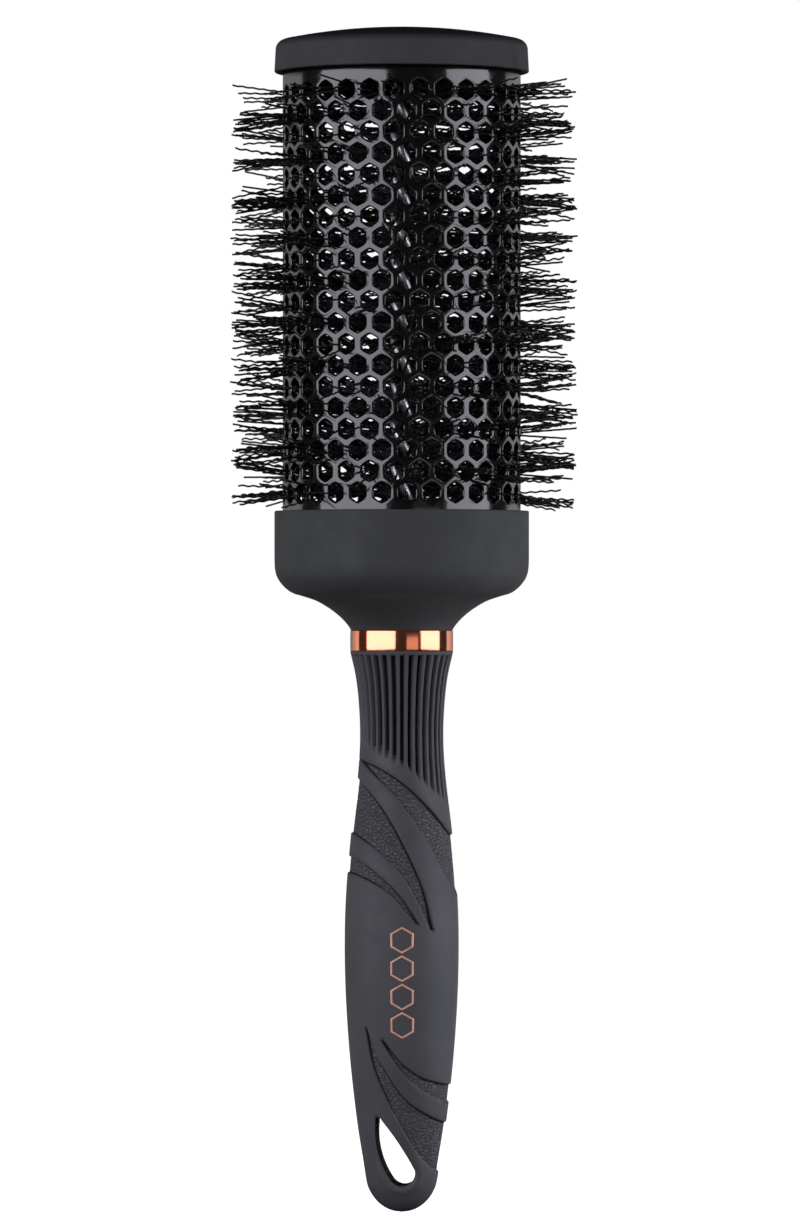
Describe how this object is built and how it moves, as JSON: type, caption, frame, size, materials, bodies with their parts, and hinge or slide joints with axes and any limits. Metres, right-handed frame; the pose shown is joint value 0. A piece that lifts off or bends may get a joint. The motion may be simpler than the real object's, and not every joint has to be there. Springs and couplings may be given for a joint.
{
  "type": "round barrel brush",
  "caption": "Round thermal hair brush with a perforated barrel, crimped bristles on a twisted wire core, flared collar, copper trim ring and tapered soft-touch handle with a hanging eye.",
  "frame": {"origin": "lowest point of the handle's rounded end, on the brush's axis", "axes": "+Z along the brush from the handle to the end cap; the handle's front faces -Y, and the hanging eye runs along Y"},
  "size_m": [0.0769, 0.0769, 0.2636],
  "materials": {
    "cap_soft_touch": "matt soft-touch coat",
    "collar_soft_touch": "matt soft-touch coat",
    "inner_plastic": "moulded nylon",
    "black_lacquer": "gloss black lacquer on aluminium",
    "core_steel": "drawn galvanised wire",
    "stem_steel": "turned",
    "copper_plate": "polished rose-gold plate",
    "copper_foil": "hot-stamped foil",
    "grained_plastic": "leather grain",
    "grip_soft_touch": "matt soft-touch elastomer",
    "nylon": "crimped black nylon filament"
  },
  "bodies": {
    "root": {"end_cap": "cap_soft_touch", "cap_plug": "inner_plastic", "barrel": "black_lacquer", "base_plug": "inner_plastic", "core_wire_a": "core_steel", "core_wire_b": "core_steel", "collar_cup": "collar_soft_touch", "trim_ring": "copper_plate", "neck_stem": "stem_steel", "handle_core": "grained_plastic", "handle_grip": "grip_soft_touch", "panel_ornament": "copper_foil", "bristles_01": "nylon", "bristles_02": "nylon", "bristles_03": "nylon", "bristles_04": "nylon", "bristles_05": "nylon", "bristles_06": "nylon", "bristles_07": "nylon", "bristles_08": "nylon", "bristles_09": "nylon", "bristles_10": "nylon", "bristles_11": "nylon", "bristles_12": "nylon", "bristles_13": "nylon", "bristles_14": "nylon", "bristles_15": "nylon"}
  },
  "joints": []
}
